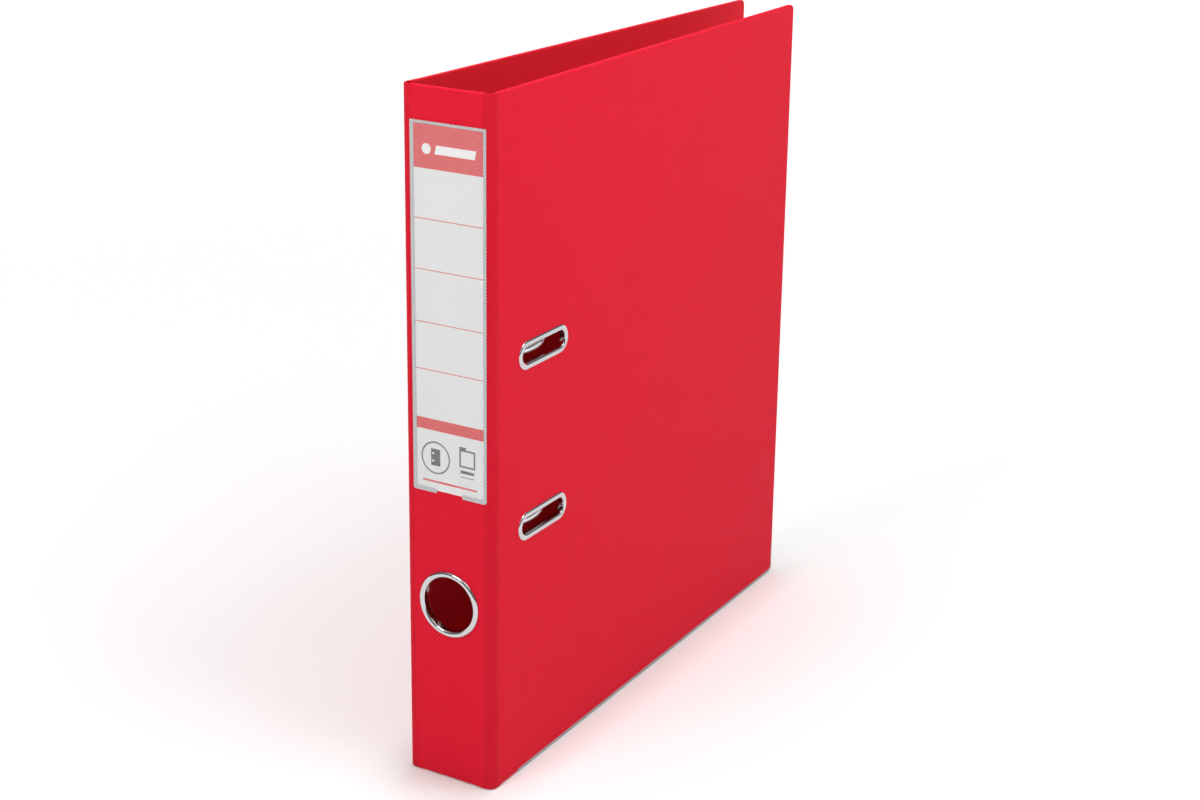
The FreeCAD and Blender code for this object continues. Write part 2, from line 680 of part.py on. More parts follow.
for node, solid in build().items():
    solid.translated(EXPORT_SHIFT).exportStep(f"parts/{node}.step")
    print(node, len(solid.Solids), solid.isValid(), round(solid.Volume, 1))
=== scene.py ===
import json
import math

import bmesh
import bpy
import numpy as np
from mathutils import Matrix, Vector


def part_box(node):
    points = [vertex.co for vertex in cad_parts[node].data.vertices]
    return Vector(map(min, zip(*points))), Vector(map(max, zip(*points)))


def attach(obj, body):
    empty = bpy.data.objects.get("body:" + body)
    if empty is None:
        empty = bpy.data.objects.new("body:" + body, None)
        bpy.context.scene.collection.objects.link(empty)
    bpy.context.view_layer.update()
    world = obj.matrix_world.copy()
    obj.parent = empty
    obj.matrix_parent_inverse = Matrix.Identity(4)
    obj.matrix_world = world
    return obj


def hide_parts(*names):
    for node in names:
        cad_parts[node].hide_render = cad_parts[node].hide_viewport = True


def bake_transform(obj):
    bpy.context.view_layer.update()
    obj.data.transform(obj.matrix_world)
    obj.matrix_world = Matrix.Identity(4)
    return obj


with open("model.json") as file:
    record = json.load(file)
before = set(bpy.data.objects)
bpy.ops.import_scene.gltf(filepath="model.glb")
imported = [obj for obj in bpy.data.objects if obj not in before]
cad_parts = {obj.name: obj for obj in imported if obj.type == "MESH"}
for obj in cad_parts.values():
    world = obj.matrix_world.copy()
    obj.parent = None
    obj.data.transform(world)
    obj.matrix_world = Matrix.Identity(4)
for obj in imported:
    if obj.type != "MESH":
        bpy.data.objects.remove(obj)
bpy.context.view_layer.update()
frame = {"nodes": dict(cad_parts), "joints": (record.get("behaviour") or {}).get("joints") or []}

# Grey boards
# Recycled grey board stiffens the two covers and the spine.  Each board is cut to
# its panel and lies loose between the welded films.


def srgb(red, green, blue):
    """Linear colour of an 8-bit screen colour: a straight foot, then a 2.4 power."""
    share = np.array([red, green, blue]) / 255
    linear = np.where(share < 0.04045, share / 12.92, ((share + 0.055) / 1.055) ** 2.4)
    return (*linear.tolist(), 1.0)


def feed(tree, source, socket):
    """Join a socket to another one, or give it a plain value."""
    if isinstance(source, bpy.types.NodeSocket):
        tree.links.new(source, socket)
    else:
        socket.default_value = source


def calc(tree, operation, *terms):
    """One step of arithmetic on numbers or sockets."""
    step = tree.nodes.new("ShaderNodeMath")
    step.operation = operation
    for term, socket in zip(terms, step.inputs):
        feed(tree, term, socket)
    return step.outputs[0]


def new_finish(name, colour, roughness, metallic=0.0):
    """Finish with an even colour and roughness set on the shader itself."""
    finish = bpy.data.materials.new(name)
    finish.use_nodes = True
    shader = finish.node_tree.nodes["Principled BSDF"]
    shader.inputs["Base Color"].default_value = colour
    shader.inputs["Roughness"].default_value = roughness
    shader.inputs["Metallic"].default_value = metallic
    return finish, finish.node_tree, shader


def object_place(tree):
    """Coordinates in the piece's own mesh, in metres."""
    return tree.nodes.new("ShaderNodeTexCoord").outputs["Object"]


def speckle(tree, size, detail=3.0, stretch=(1, 1, 1)):
    """Soft noise from 0 to 1 whose spots are about size across, in metres."""
    spread = tree.nodes.new("ShaderNodeMapping")
    spread.inputs["Scale"].default_value = [share / size for share in stretch]
    tree.links.new(object_place(tree), spread.inputs["Vector"])
    noise = tree.nodes.new("ShaderNodeTexNoise")
    noise.inputs["Scale"].default_value = 1.0
    noise.inputs["Detail"].default_value = detail
    tree.links.new(spread.outputs[0], noise.inputs["Vector"])
    return noise.outputs["Fac"]


def shade(tree, share, dark, light, socket):
    """Colour between dark and light by a share from 0 to 1."""
    ramp = tree.nodes.new("ShaderNodeValToRGB")
    ramp.color_ramp.elements[0].color = dark
    ramp.color_ramp.elements[1].color = light
    tree.links.new(share, ramp.inputs["Fac"])
    tree.links.new(ramp.outputs["Color"], socket)


def uneven(tree, share, low, high, socket):
    """Number between low and high by a share from 0 to 1."""
    spread = tree.nodes.new("ShaderNodeMapRange")
    spread.inputs["To Min"].default_value = low
    spread.inputs["To Max"].default_value = high
    tree.links.new(share, spread.inputs["Value"])
    tree.links.new(spread.outputs[0], socket)


def emboss(tree, shader, height, depth):
    """Relief of a height from 0 to 1, depth in metres."""
    bump = tree.nodes.new("ShaderNodeBump")
    bump.inputs["Strength"].default_value = 1.0
    bump.inputs["Distance"].default_value = depth
    tree.links.new(height, bump.inputs["Height"])
    tree.links.new(bump.outputs["Normal"], shader.inputs["Normal"])


def finish_nodes(finish, *nodes):
    """Give CAD pieces that keep their own shape a finish."""
    for name in nodes:
        slots = frame["nodes"][name].data.materials
        slots.clear()
        slots.append(finish)


grey_board, tree, shader = new_finish("grey_board", srgb(146, 141, 133), 0.92)
fibres = speckle(tree, 0.0012, detail=6, stretch=(1, 0.5, 1))
shade(tree, fibres, srgb(122, 118, 111), srgb(170, 165, 157), shader.inputs["Base Color"])
emboss(tree, shader, fibres, 0.00008)
finish_nodes(grey_board, "back_board", "spine_board", "front_board")

# Welded red film
# Embossed polypropylene film covers each board: the outer film turns in round the
# board's edge, and the inner film is welded to its rim.  All sizes are in
# millimetres on the flat panel; placing it makes metres in the file's own frame.
MM = 0.001
FILM_T = 0.4
PANEL_T = 2.3
SETBACK = 4.8
HINGE_R = 4.0
COVER_CORNER_R = 3.0
FILM_EDGE_R = 0.75
INNER_EDGE_R = 0.3
FACE_LOOP = 2.2
OUTER_LAND = 0.25
INNER_LAND = 0.2
INNER_DRAFT = 0.05
LIP_SHARE = 0.25
HINGE_SIDE_SHARE = 0.0
STRIP_START = 16.1
STRIP_RISE = 17.5
STRIP_FLANGE = 1.2
STEP = 0.02

corner_x, corner_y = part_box("back_hinge_film")[0][:2]
front_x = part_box("front_hinge_film")[1].x
HEIGHT = (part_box("front_hinge_film")[1].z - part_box("front_hinge_film")[0].z) / MM
WIDTH = (front_x - corner_x) / MM
COVER_LENGTH = (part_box("front_edge_strip")[1].y - corner_y) / MM - SETBACK
SPINE_LENGTH = WIDTH - 2 * SETBACK
slide = next(j for j in frame["joints"] if j["name"] == "compressor_slide")["axis"]
LEAN = math.atan2(-slide[1], slide[0])


def drawn(x, y, z):
    """Millimetres from the outer back corner, as a row of points."""
    return np.stack(np.broadcast_arrays(x, y, z), axis=-1).astype(float)


def in_frame(points):
    """Millimetres from the outer back corner to metres in the frame."""
    return points * MM + np.array([corner_x, corner_y, 0.0])


def leaned(points):
    """Turn by the back cover's lean about the centre of its rounded corner."""
    x = points[..., 0] - HINGE_R
    y = points[..., 1] - HINGE_R
    c, s = math.cos(LEAN), math.sin(LEAN)
    return in_frame(drawn(HINGE_R + c * x + s * y, HINGE_R - s * x + c * y, points[..., 2]))


def on_front(points):
    """Depth, distance from the hinge and height on the front cover."""
    return in_frame(drawn(WIDTH - points[..., 0], SETBACK + points[..., 1], points[..., 2]))


def on_spine(points):
    """Depth, distance from the hinge and height on the spine."""
    return in_frame(drawn(SETBACK + points[..., 1], points[..., 0], points[..., 2]))


def on_back(points):
    """Depth, distance from the hinge and height on the back cover."""
    return leaned(drawn(points[..., 0], SETBACK + points[..., 1], points[..., 2]))


def quads(rows, columns, close_rows=False, close_columns=False):
    """Corners of the quads on a grid of points; a closed way joins its ends."""
    r = np.arange(rows if close_rows else rows - 1)
    c = np.arange(columns if close_columns else columns - 1)
    r, c = np.meshgrid(r, c, indexing="ij")
    r1 = (r + 1) % rows
    c1 = (c + 1) % columns
    corners = [r * columns + c, r * columns + c1, r1 * columns + c1, r1 * columns + c]
    return np.stack(corners, axis=-1).reshape(-1, 4)


def make_piece(name, surfaces, finish, crease=40):
    """Closed mesh from grids of points and their quads, joined where they touch."""
    points, faces, start = [], [], 0
    for grid, corners in surfaces:
        flat = grid.reshape(-1, 3)
        points.append(flat)
        faces.append(corners + start)
        start += len(flat)
    mesh = bpy.data.meshes.new(name)
    mesh.from_pydata(np.concatenate(points).tolist(), [], np.concatenate(faces).tolist())
    shape = bmesh.new()
    shape.from_mesh(mesh)
    bmesh.ops.remove_doubles(shape, verts=shape.verts, dist=0.000002)
    bmesh.ops.dissolve_degenerate(shape, edges=shape.edges, dist=0.000001)
    bmesh.ops.recalc_face_normals(shape, faces=shape.faces)
    shape.to_mesh(mesh)
    shape.free()
    mesh.polygons.foreach_set("use_smooth", np.ones(len(mesh.polygons), bool))
    mesh.set_sharp_from_angle(angle=math.radians(crease))
    mesh.materials.append(finish)
    piece = bpy.data.objects.new(name, mesh)
    bpy.context.scene.collection.objects.link(piece)
    return piece


def half_outline(length, corner_r, strip, far_hinge):
    """Lower half of a panel's outline, closed along the cut at mid height.
    Each point has its inward direction, its recess under the edge strip and the
    share of the full edge rounding that it gets."""
    middle = HEIGHT / 2
    straight = length - corner_r
    if strip:
        bottom_y = np.concatenate([np.linspace(0, STRIP_START - STEP, 5),
                                   np.linspace(STRIP_START, straight, 32)])
        fore_z = np.concatenate([np.linspace(corner_r, STRIP_RISE, 5)[1:],
                                 np.linspace(STRIP_RISE + STEP, middle, 20)])
    else:
        bottom_y = np.linspace(0, straight, max(8, int(straight / 8)))
        fore_z = np.linspace(corner_r, middle, 24)[1:]
    turn = np.radians(np.linspace(0, 90, 9))[1:]
    hinge_z = np.linspace(middle, 0, 24)[:-1]
    cut_y = np.linspace(length, 0, max(6, int(length / 8)))[1:-1]
    bottom = np.stack([bottom_y, 0 * bottom_y], axis=1)
    bend = np.stack([straight + corner_r * np.sin(turn),
                     corner_r - corner_r * np.cos(turn)], axis=1)
    fore = np.stack([0 * fore_z + length, fore_z], axis=1)
    cut = np.stack([cut_y, 0 * cut_y + middle], axis=1)
    hinge = np.stack([0 * hinge_z, hinge_z], axis=1)
    inward_bottom = np.tile([0.0, 1.0], (len(bottom), 1))
    inward_bottom[0] = (1, 1)
    inward_bend = np.stack([-np.sin(turn), np.cos(turn)], axis=1)
    if corner_r == 0:
        bottom, inward_bottom = bottom[:-1], inward_bottom[:-1]
        bend, inward_bend = bend[:1], np.array([[-1.0, 1.0]])
    inward = np.concatenate([inward_bottom, inward_bend, np.tile([-1.0, 0.0], (len(fore), 1)),
                             np.zeros((len(cut), 2)), np.tile([1.0, 0.0], (len(hinge), 1))])
    outline = np.concatenate([bottom, bend, fore, cut, hinge])
    on_cut = np.zeros(len(outline), bool)
    cut_start = len(bottom) + len(bend) + len(fore)
    on_cut[cut_start:cut_start + len(cut)] = True
    share = np.ones(len(outline))
    share[cut_start:] = HINGE_SIDE_SHARE
    share[0] = HINGE_SIDE_SHARE
    if far_hinge:
        share[len(bottom):] = HINGE_SIDE_SHARE
    under = np.zeros(len(outline), bool)
    if strip:
        y, z = outline.T
        along_bottom = (z < STRIP_RISE) & (y > STRIP_START - STEP / 2)
        up_the_side = (y > straight) & (z < STRIP_RISE + STEP / 2)
        under = (along_bottom | up_the_side) & ~on_cut
        share[under] = HINGE_SIDE_SHARE
    return outline, inward, on_cut, under, share


def outer_film_section(recess, under, share):
    """Rows of inset and depth: face, rounded edge, turned-in rim and board side."""
    turn = np.radians(np.linspace(0, 90, 7))[:, None]
    round_r = FILM_EDGE_R * share
    rim = np.where(under, 0.0, FILM_T)
    rim_depth = np.where(under, FILM_T, PANEL_T - FILM_T)
    lip = LIP_SHARE * rim
    inset = np.vstack([0 * share + FACE_LOOP, recess + round_r + OUTER_LAND,
                       recess + round_r * (1 - np.sin(turn)), recess, recess + lip,
                       recess + rim, recess + rim, 0 * share + FACE_LOOP])
    depth = np.vstack([0 * share, 0 * share, round_r * (1 - np.cos(turn)), rim_depth - lip,
                       rim_depth, rim_depth, 0 * share + FILM_T, 0 * share + FILM_T])
    return inset, depth


def inner_film_section(recess, under, share):
    """Rows of inset and depth: inside face, small rounded edge and board side."""
    turn = np.radians(np.linspace(0, 90, 5))[:, None]
    round_r = INNER_EDGE_R * share
    inset = np.vstack([0 * share + FACE_LOOP, recess + round_r + INNER_LAND,
                       recess + round_r * (1 - np.sin(turn)), recess + INNER_DRAFT,
                       0 * share + FACE_LOOP])
    low = 0 * share + PANEL_T - FILM_T
    depth = np.vstack([0 * share + PANEL_T, 0 * share + PANEL_T,
                       PANEL_T - round_r * (1 - np.cos(turn)), low, low])
    return inset, depth


def half_film(length, corner_r, strip, far_hinge, hole, section, flip):
    """Half of one film as rows of points from its hole out round the edge and back.
    The hole's points lie on the rays from its centre to the outline, so the face
    between them never folds.  A panel with no hole closes in a single point."""
    outline, inward, on_cut, under, share = half_outline(length, corner_r, strip, far_hinge)
    inset, depth = section(np.where(under, STRIP_FLANGE, 0.0), under, share)
    rows = outline + inward * inset[..., None]
    half = len(inset) // 2
    depth[:half, on_cut] = depth[0, on_cut]
    depth[half:, on_cut] = depth[-1, on_cut]
    if hole is None:
        centre = np.array([length / 2, HEIGHT / 4])
        reach = np.zeros(len(outline))
    else:
        centre, straight, radius = np.array(hole[:2]), hole[2], hole[3]
        ray = rows[0] - centre
        reach = radius / np.maximum(np.abs(ray[:, 1]), 1e-9)
        end = np.sign(ray[:, 0]) * straight
        a = (ray ** 2).sum(1)
        b = ray[:, 0] * end
        round_reach = (b + np.sqrt(np.maximum(b ** 2 - a * (end ** 2 - radius ** 2), 0))) / a
        reach = np.where(np.abs(ray[:, 0]) * reach <= straight, reach, round_reach)
    rim = centre + (rows[0] - centre) * reach[:, None]
    rows = np.concatenate([rim[None], rows, rim[None]])
    depth = np.concatenate([depth[:1], depth, depth[-1:]])
    height = HEIGHT - rows[..., 1] if flip else rows[..., 1]
    corners = quads(len(rows), len(outline), hole is not None, True)
    row = corners[:, 0] // len(outline)
    column = corners[:, 0] % len(outline)
    at_cut = on_cut[column] | on_cut[(column + 1) % len(outline)]
    kept = ~at_cut | (row == 0) | (row >= len(rows) - 2)
    return drawn(depth, rows[..., 0], height), corners[kept]


def cover_film(name, node, body, place, length, corner_r, strip, far_hinge, holes, section, finish):
    """One film of one panel, from its lower and upper halves."""
    halves = []
    for hole, strip_here, flip in ((holes[0], strip, False), (holes[1], False, True)):
        grid, corners = half_film(length, corner_r, strip_here, far_hinge, hole, section, flip)
        halves.append((place(grid), corners))
    piece = make_piece(name, halves, finish)
    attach(piece, body)
    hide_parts(node)
    return piece


EMBOSS_PITCH = 0.0013


def slanting_ridges(tree, lean_sign, pitch):
    """Ridges on x + y plus or minus z, so that they run on round the corners."""
    parts = tree.nodes.new("ShaderNodeSeparateXYZ")
    tree.links.new(object_place(tree), parts.inputs[0])
    around = calc(tree, "ADD", parts.outputs["X"], parts.outputs["Y"])
    slant = calc(tree, "MULTIPLY_ADD", parts.outputs["Z"], lean_sign, around)
    wave = calc(tree, "SINE", calc(tree, "MULTIPLY", slant, 2 * math.pi / (pitch * math.sqrt(2))))
    return calc(tree, "MULTIPLY_ADD", wave, 0.5, 0.5)


def film_finish(name, dark, light, pitch, relief):
    """Satin film with crossed slanting ridges, one set stronger than the other, and painted shade:
    darker colour in the ridges' valleys, lighter on their crests.
    """
    finish, tree, shader = new_finish(name, light, 0.42)
    shader.inputs["Specular IOR Level"].default_value = 0.02
    strong = slanting_ridges(tree, -1.0, pitch)
    weak = slanting_ridges(tree, 1.0, pitch)
    cross = calc(tree, "MULTIPLY_ADD", weak, 0.35, calc(tree, "MULTIPLY", strong, 0.65))
    cloud = speckle(tree, 0.02, detail=4)
    ridge_shade_and_tone = calc(tree, "MULTIPLY_ADD", cloud, 0.12, calc(tree, "MULTIPLY", cross, 0.88))
    # Painted shade of the relief: dark in the valleys, light on the crests, over a random cloudy
    # tone.
    shade(tree, ridge_shade_and_tone, dark, light, shader.inputs["Base Color"])
    uneven(tree, speckle(tree, 0.008), 0.36, 0.5, shader.inputs["Roughness"])
    emboss(tree, shader, cross, relief)
    return finish


red_film = film_finish("red_film", srgb(212, 28, 47), srgb(236, 35, 57), EMBOSS_PITCH, 0.00006)
# Painted light: the lining is the same red film made lighter than the outside, standing in for
# light inside the file.
red_lining_painted_light = film_finish("red_lining_painted_light", srgb(230, 40, 56), srgb(245, 48, 64), EMBOSS_PITCH, 0.00005)

SLOT_ZS = [HEIGHT / 2 - 40, HEIGHT / 2 + 40]
SLOT_Y = 41.0 - SETBACK
SLOT_HALF_STRAIGHT = 13.6
SLOT_HALF_WIDTH = 3.9
EYELET_WALL = 0.4
RING_Z = 86.0
RING_BORE_R = 12.8
RING_WALL = 0.5
slot_hole = (SLOT_Y, SLOT_ZS[0], SLOT_HALF_STRAIGHT, SLOT_HALF_WIDTH + EYELET_WALL)
ring_hole = (SPINE_LENGTH / 2, RING_Z, 0.0, RING_BORE_R + RING_WALL)

for panel, body, place, length, corner_r, strip, far_hinge, holes in (
        ("back", "back_cover", on_back, COVER_LENGTH, COVER_CORNER_R, True, False, (None, None)),
        ("spine", "spine", on_spine, SPINE_LENGTH, 0.0, False, True, (ring_hole, None)),
        ("front", "front_cover", on_front, COVER_LENGTH, COVER_CORNER_R, True, False,
         (slot_hole, slot_hole))):
    cover_film(f"{panel}_film_outside", f"{panel}_outer_film", body, place, length, corner_r,
               strip, far_hinge, holes, outer_film_section, red_film)
    cover_film(f"{panel}_film_inside", f"{panel}_inner_film", body, place, length, corner_r,
               strip, far_hinge, holes, inner_film_section, red_lining_painted_light)

# Film hinges
# Between the panels the two films are welded to each other with no board and
# turn the spine's corners.  Two pressed creases run along each hinge, where the
# real film folds.
HINGE_FILM_T = 0.8
CREASE_DEPTH = 0.07
CREASE_WIDTH = 0.3
CREASES = (0.5, 3.6)
HINGE_END_R = 0.3
HINGE_LINE_POINTS = 57
HINGE_HEIGHTS = 40
BLEND_NEAR, BLEND_FAR = 0.4, 4.4


def folded_sheet(outer, inner):
    """Closed band of sheet: outer and inner lines at each station, and both ends."""
    loop = np.concatenate([outer, inner[:, ::-1]], axis=1)
    stations, around = loop.shape[:2]
    surfaces = [(loop, quads(stations, around, close_columns=True))]
    for end in (0, -1):
        cap = np.stack([outer[end], inner[end]])
        surfaces.append((cap, quads(2, outer.shape[1])))
    return surfaces


def hinge_line(sweep, thickness):
    """Line round a corner at a depth below the outer face: a straight tab, an arc of
    HINGE_R about the corner's centre and a straight tab, with two shallow creases.  Points
    run from the cover to the spine, drawn about the centre with the cover on -x."""
    tab = SETBACK - HINGE_R
    arc = HINGE_R * sweep
    s = np.linspace(0, arc + 2 * tab, HINGE_LINE_POINTS)
    angle = np.clip((s - tab) / HINGE_R, 0, sweep)
    before = np.minimum(s - tab, 0)
    after = np.maximum(s - tab - arc, 0)
    crease = sum(np.exp(-((s - place) / CREASE_WIDTH) ** 2) for place in CREASES)
    crease = CREASE_DEPTH * crease if thickness == 0 else 0
    radius = HINGE_R - thickness - crease
    out = np.stack([-np.cos(angle), -np.sin(angle)], axis=1)
    along = np.stack([np.sin(angle), -np.cos(angle)], axis=1)
    return out * np.broadcast_to(radius, s.shape)[:, None] + along * (before + after)[:, None]


def film_hinge(name, node, sweep, mirrored, start, end):
    """Hinge film over the full height, its outer line drawn in by a quarter turn of
    HINGE_END_R at both ends."""
    turn = np.radians(np.linspace(0, 90, 4))
    rise = HINGE_END_R * (1 - np.cos(turn))
    pull = HINGE_END_R * (1 - np.sin(turn))
    z = np.concatenate([rise, np.linspace(2, HEIGHT - 2, HINGE_HEIGHTS), HEIGHT - rise[::-1]])
    draw_in = np.concatenate([pull, np.zeros(HINGE_HEIGHTS), pull[::-1]])
    lines = []
    for base, side in ((hinge_line(sweep, 0.0), 1), (hinge_line(sweep, HINGE_FILM_T), 0)):
        radius = np.linalg.norm(base, axis=1)
        shrink = 1 - side * draw_in[:, None] / radius
        plane = base * shrink[..., None]
        x = plane[..., 0]
        y = plane[..., 1]
        c, s = math.cos(sweep - math.pi / 2), math.sin(sweep - math.pi / 2)
        x, y = c * x + s * y, c * y - s * x
        centre_x = WIDTH - HINGE_R if mirrored else HINGE_R
        x = centre_x - x if mirrored else centre_x + x
        lines.append(in_frame(drawn(x, HINGE_R + y, z[:, None])))
    piece = make_piece(name, folded_sheet(*lines), red_hinge_film)
    in_frame(drawn(*start, 0))
    in_frame(drawn(*end, 0))
    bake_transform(piece)
    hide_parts(node)
    return piece


# Painted shade: the hinge film's darker range stands in for shade along the crease band.
red_hinge_film = film_finish("red_hinge_film", srgb(184, 24, 42), srgb(240, 36, 56),
                             0.0010, 0.00012)
film_hinge("back_hinge_weld", "back_hinge_film", math.pi / 2 + LEAN, False,
           (BLEND_NEAR, BLEND_FAR), (BLEND_FAR, BLEND_NEAR))
film_hinge("front_hinge_weld", "front_hinge_film", math.pi / 2, True,
           (WIDTH - BLEND_FAR, BLEND_NEAR),
           (WIDTH - BLEND_NEAR, BLEND_FAR))

# Edge strips
# A bright rolled-steel strip is folded over the bottom and the lower fore corner of
# each cover, so that the file slides on a shelf without wearing the film through.
STRIP_T = 0.35
STRIP_FOLD_R = 0.3
STRIP_FLAT = 0.6


def strip_along(length):
    """Points and inward directions along the bottom, round the corner and up."""
    straight = length - COVER_CORNER_R
    y = np.linspace(STRIP_START + STEP, straight, 30)
    turn = np.radians(np.linspace(0, 90, 17))[1:]
    z = np.linspace(COVER_CORNER_R, STRIP_RISE, 6)[1:]
    points = np.concatenate([
        np.stack([y, 0 * y], axis=1),
        np.stack([straight + COVER_CORNER_R * np.sin(turn),
                  COVER_CORNER_R - COVER_CORNER_R * np.cos(turn)], axis=1),
        np.stack([0 * z + length, z], axis=1)])
    inward = np.concatenate([
        np.tile([0.0, 1.0], (len(y), 1)),
        np.stack([-np.sin(turn), np.cos(turn)], axis=1),
        np.tile([-1.0, 0.0], (len(z), 1))])
    return points, inward


def strip_section(offset):
    """Channel section as inset and depth, offset inwards from its outer face."""
    low, high, r = offset, PANEL_T - offset, max(STRIP_FOLD_R - offset, 0.02)
    turn = np.radians(np.linspace(0, 90, 5))
    inset = np.concatenate([[STRIP_FLANGE, STRIP_FLAT], low + r * (1 - np.sin(turn)),
                            low + r * (1 - np.cos(turn)), [STRIP_FLAT, STRIP_FLANGE]])
    depth = np.concatenate([[low, low], low + r * (1 - np.cos(turn)),
                            high - r * (1 - np.sin(turn)), [high, high]])
    return inset, depth


edge_steel, tree, shader = new_finish("edge_steel", srgb(170, 171, 172), 0.4, metallic=1.0)
drawing_lines = speckle(tree, 0.0004, detail=2, stretch=(1, 0.02, 1))
shade(tree, drawing_lines, srgb(156, 158, 159), srgb(184, 186, 187), shader.inputs["Base Color"])
uneven(tree, speckle(tree, 0.006), 0.38, 0.52, shader.inputs["Roughness"])
emboss(tree, shader, drawing_lines, 0.00001)
for panel, body, place in (("back", "back_cover", on_back), ("front", "front_cover", on_front)):
    points, inward = strip_along(COVER_LENGTH)
    lines = []
    for offset in (0.0, STRIP_T):
        inset, depth = strip_section(offset)
        line = points[:, None] + inward[:, None] * inset[:, None]
        lines.append(place(drawn(depth, line[..., 0], line[..., 1])))
    strip = make_piece(f"{panel}_strip_fold", folded_sheet(*lines), edge_steel)
    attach(strip, body)
    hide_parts(f"{panel}_edge_strip")

# Finger ring and slot eyelets
# Thin sheet brass, drawn to a domed rim and a short barrel and plated bright.  The
# barrel goes through the board and is curled over on the inside.
RING_FLANGE = 2.8
RING_RIM_H = 1.2
RING_INNER_H = 0.6
SLOT_FLANGE = 2.7
SLOT_RIM_H = 0.7
SLOT_INNER_H = 0.2
CURL_SHARE = 0.4


def pressed_rim(flange, rim_h, inner_h, wall):
    """Closed section as distance out from the bore and depth: dome, barrel, curl and
    the hidden side.  Dome and curl are half waves."""
    dome = np.radians(np.linspace(0, 180, 25))
    curl = np.radians(np.linspace(0, 180, 13))
    out = np.concatenate([flange / 2 * (1 + np.cos(dome)), CURL_SHARE * flange * (1 - np.cos(curl)),
                          [wall, wall]])
    depth = np.concatenate([-rim_h * np.sin(dome), PANEL_T + inner_h * np.sin(curl),
                            [PANEL_T, 0.0]])
    return out, depth


def rim_round(bore_r, half_straight, centre_y, centre_z, section):
    """Section carried round a long hole: its two half circles joined by straights."""
    out, depth = section
    quarter = np.radians(np.linspace(-90, 90, 49))
    angle = np.concatenate([quarter, quarter + math.pi])
    core = np.repeat([half_straight, -half_straight], len(quarter))
    y = centre_y + core[:, None] + (bore_r + out) * np.cos(angle)[:, None]
    z = centre_z + (bore_r + out) * np.sin(angle)[:, None]
    grid = drawn(depth, y, z)
    return grid, quads(*grid.shape[:2], close_rows=True, close_columns=True)


chrome, tree, shader = new_finish("chrome", srgb(200, 201, 203), 0.1, metallic=1.0)
uneven(tree, speckle(tree, 0.004), 0.06, 0.16, shader.inputs["Roughness"])
emboss(tree, shader, speckle(tree, 0.0006, detail=5), 0.000004)

grid, corners = rim_round(RING_BORE_R, 0.0, SPINE_LENGTH / 2, RING_Z,
                          pressed_rim(RING_FLANGE, RING_RIM_H, RING_INNER_H, RING_WALL))
ring = make_piece("finger_ring_pressing", [(on_spine(grid), corners)], chrome, crease=60)
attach(ring, "spine")
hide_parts("finger_ring")

surfaces = []
for slot_z in SLOT_ZS:
    section = pressed_rim(SLOT_FLANGE, SLOT_RIM_H, SLOT_INNER_H, EYELET_WALL)
    grid, corners = rim_round(SLOT_HALF_WIDTH, SLOT_HALF_STRAIGHT, SLOT_Y, slot_z, section)
    surfaces.append((on_front(grid), corners))
eyelets = make_piece("slot_eyelet_pressings", surfaces, chrome, crease=60)
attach(eyelets, "front_cover")
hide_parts("slot_eyelets")

# Label pocket
# Clear film is welded to the spine at both sides and the top with a slanting
# hatched die.  The hems beside the thumb cut carry the same hatching, and the card
# slides out between them and the spine.
POCKET_BACK_X = 4.8
POCKET_FRONT_X = WIDTH - 3.0
POCKET_LOW_Z = 138.0
POCKET_TOP_Z = HEIGHT - 14.7
POCKET_CORNER_R = 1.2
WELD_BACK = 2.0
WELD_FRONT = 1.3
WELD_TOP = 1.2
HEM = 2.0
NOTCH_HALF = 6.7
THUMB_R = 6.0
SHEET_OUT = -0.55
SHEET_IN = -0.35
HATCH_PITCH = 1.45
HATCH_DEPTH = 0.16
WELD_LEAST_T = 0.06
HEM_STEPS, CORNER_STEPS, SIDE_STEPS, TOP_STEPS = 30, 12, 560, 140


def run(start, end, steps):
    """Points of a straight run, both ends included."""
    return np.linspace(start, end, steps)


